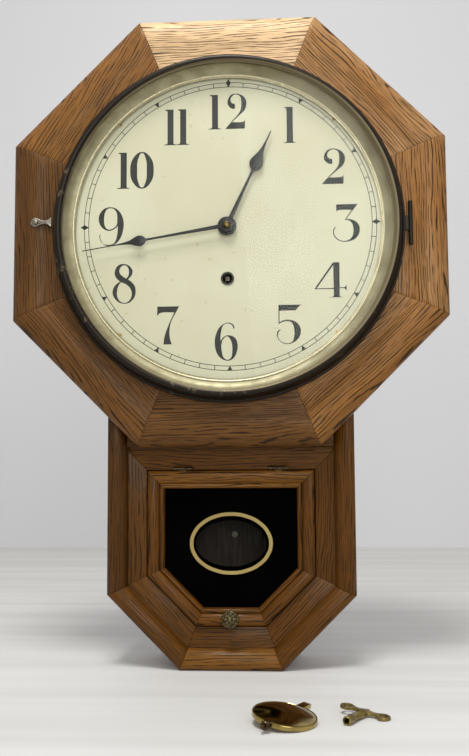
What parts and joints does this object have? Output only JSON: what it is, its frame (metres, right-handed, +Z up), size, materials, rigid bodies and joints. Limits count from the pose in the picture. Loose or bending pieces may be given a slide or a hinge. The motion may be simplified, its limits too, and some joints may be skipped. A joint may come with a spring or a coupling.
{
  "type": "regulator clock",
  "caption": "Wall clock with an octagonal oak case, round dial under a hinged glass bezel, short lower case with a glazed door, and loose pendulum bob and key.",
  "frame": {"origin": "centre of the case's flat underside, midway between the wall plane and the front of the lower case", "axes": "+X to the viewer's right, +Y towards the wall, +Z up"},
  "size_m": [0.435, 0.2795, 0.653],
  "materials": {
    "side_oak": "oiled oak, worn",
    "front_oak": "varnished oak, open grain",
    "backboard_wood": "plain softwood, stained",
    "steel": "dull",
    "dark_brass": "aged, dark",
    "brass": "satin",
    "dial_paint": "matt cream paint, printed",
    "nickel": "worn nickel plate",
    "black_brass": "blackened, satin sheen",
    "gold_ring": "aged, satin",
    "dial_glass": "clear",
    "tablet": "back-painted black and gold",
    "hand_black": "black, matt",
    "bob_brass": "polished, lacquered",
    "key_brass": "dull"
  },
  "bodies": {
    "case": {"backboard": "backboard_wood", "bottom_board": "side_oak", "trunk_corner_boards": "side_oak", "trunk_side_left": "side_oak", "trunk_side_right": "side_oak", "box_shoulder_boards": "side_oak", "box_side_boards": "side_oak", "box_upper_boards": "side_oak", "octagon_bottom": "front_oak", "octagon_lower_right": "front_oak", "octagon_right": "front_oak", "octagon_upper_right": "front_oak", "octagon_top": "front_oak", "octagon_upper_left": "front_oak", "octagon_left": "front_oak", "octagon_lower_left": "front_oak", "front_frame": "front_oak", "trunk_moulding": "front_oak", "spacer_strip": "side_oak", "hanger_plate": "steel", "case_screws": "steel", "door_hinge_fixed": "dark_brass", "dial_plate": "dial_paint", "dial_screws": "brass", "winding_grommet": "dark_brass", "bezel_hinge_fixed": "dark_brass", "latch_screw": "nickel", "movement_plates": "brass", "pillars_and_nuts": "brass", "movement_feet": "brass", "mainspring": "steel"},
    "bezel": {"bezel_rim": "black_brass", "sight_ring": "gold_ring", "dial_glass": "dial_glass", "bezel_hinge_moving": "dark_brass"},
    "latch": {"bezel_latch": "nickel"},
    "door": {"door_frame": "front_oak", "tablet_glass": "tablet", "glazing_strips": "side_oak", "door_hinge_moving": "dark_brass"},
    "knob": {"door_knob": "dark_brass", "turn_button": "steel"},
    "minute_hand_group": {"minute_hand": "hand_black", "hand_nut": "brass", "cannon_pinion": "steel"},
    "hour_hand_group": {"hour_hand": "hand_black", "hour_wheel": "brass"},
    "motion_wheel_group": {"motion_wheel": "brass"},
    "third_wheel_group": {"third_wheel": "brass"},
    "centre_wheel_group": {"centre_wheel": "brass"},
    "second_wheel_group": {"second_wheel": "brass"},
    "great_wheel_group": {"great_wheel": "brass"},
    "escape_wheel_group": {"escape_wheel": "brass"},
    "winding_group": {"winding_arbor": "steel"},
    "click_group": {"click": "steel"},
    "pendulum": {"pendulum_rod": "steel"},
    "verge_group": {"verge": "steel"},
    "bob": {"pendulum_bob": "bob_brass"},
    "rating_nut_group": {"rating_nut": "dark_brass"},
    "key": {"winding_key": "key_brass"}
  },
  "joints": [
    {"name": "bezel_swing", "type": "hinge", "parent": "case", "child": "bezel", "pos_m": [0.1798, -0.0617, 0.4355], "axis": [0, 0, 1], "range_deg": [0, 110]},
    {"name": "latch_turn", "type": "hinge", "parent": "case", "child": "latch", "pos_m": [-0.1928, -0.0624, 0.4433], "axis": [0, 1, 0], "range_deg": [-45, 60]},
    {"name": "door_swing", "type": "hinge", "parent": "case", "child": "door", "pos_m": [0, -0.03245, 0.1967], "axis": [-1, 0, 0], "range_deg": [0, 100]},
    {"name": "knob_turn", "type": "hinge", "parent": "door", "child": "knob", "pos_m": [0, -0.0294, 0.05075], "axis": [0, 1, 0], "range_deg": [0, 90]},
    {"name": "minute_hand_turn", "type": "hinge", "parent": "case", "child": "minute_hand_group", "pos_m": [0, -0.0684, 0.4355], "axis": [0, 1, 0], "continuous": true},
    {"name": "hour_hand_turn", "type": "hinge", "parent": "case", "child": "hour_hand_group", "pos_m": [0, -0.0654, 0.4355], "axis": [0, 1, 0], "continuous": true},
    {"name": "motion_wheel_turn", "type": "hinge", "parent": "case", "child": "motion_wheel_group", "pos_m": [0.0108, -0.0344, 0.42263], "axis": [0, 1, 0], "continuous": true},
    {"name": "third_wheel_turn", "type": "hinge", "parent": "case", "child": "third_wheel_group", "pos_m": [-0.01401, -0.0094, 0.45499], "axis": [0, 1, 0], "continuous": true},
    {"name": "centre_wheel_turn", "type": "hinge", "parent": "case", "child": "centre_wheel_group", "pos_m": [0, -0.0094, 0.4355], "axis": [0, 1, 0], "continuous": true},
    {"name": "second_wheel_turn", "type": "hinge", "parent": "case", "child": "second_wheel_group", "pos_m": [0.01688, -0.0094, 0.4153], "axis": [0, 1, 0], "continuous": true},
    {"name": "great_wheel_turn", "type": "hinge", "parent": "case", "child": "great_wheel_group", "pos_m": [0, -0.0094, 0.3835], "axis": [0, 1, 0], "continuous": true},
    {"name": "escape_wheel_turn", "type": "hinge", "parent": "case", "child": "escape_wheel_group", "pos_m": [0, -0.0094, 0.47064], "axis": [0, 1, 0], "continuous": true},
    {"name": "winding_turn", "type": "hinge", "parent": "great_wheel_group", "child": "winding_group", "pos_m": [0, -0.0194, 0.3835], "axis": [0, 1, 0], "continuous": true},
    {"name": "click_swing", "type": "hinge", "parent": "great_wheel_group", "child": "click_group", "pos_m": [-0.01316, -0.0134, 0.37871], "axis": [0, 1, 0], "range_deg": [0, 8]},
    {"name": "pendulum_swing", "type": "hinge", "parent": "case", "child": "pendulum", "pos_m": [0, 0.0196, 0.50849], "axis": [0, 1, 0], "range_deg": [-3.5, 3.5]},
    {"name": "verge_swing", "type": "hinge", "parent": "case", "child": "verge_group", "pos_m": [0, 0.0006, 0.48949], "axis": [0, 1, 0], "range_deg": [-6, 6]},
    {"name": "bob_lift", "type": "slide", "parent": "case", "child": "bob", "axis": [0, 0, 1], "range_m": [0, 0.3]},
    {"name": "rating_nut_turn", "type": "hinge", "parent": "bob", "child": "rating_nut_group", "pos_m": [0.053, -0.208, 0.00585], "axis": [0.5, 0.866, 0], "continuous": true},
    {"name": "key_lift", "type": "slide", "parent": "case", "child": "key", "axis": [0, 0, 1], "range_m": [0, 0.3]}
  ],
  "couplings": [
    {"joint": "hour_hand_turn", "follows": "minute_hand_turn", "ratio": 0.083333},
    {"joint": "motion_wheel_turn", "follows": "minute_hand_turn", "ratio": -0.33333},
    {"joint": "centre_wheel_turn", "follows": "third_wheel_turn", "ratio": -0.11111},
    {"joint": "second_wheel_turn", "follows": "third_wheel_turn", "ratio": 0.013889},
    {"joint": "great_wheel_turn", "follows": "third_wheel_turn", "ratio": -0.0021368},
    {"joint": "escape_wheel_turn", "follows": "third_wheel_turn", "ratio": -9.5},
    {"joint": "verge_swing", "follows": "pendulum_swing", "ratio": 1.5723}
  ]
}
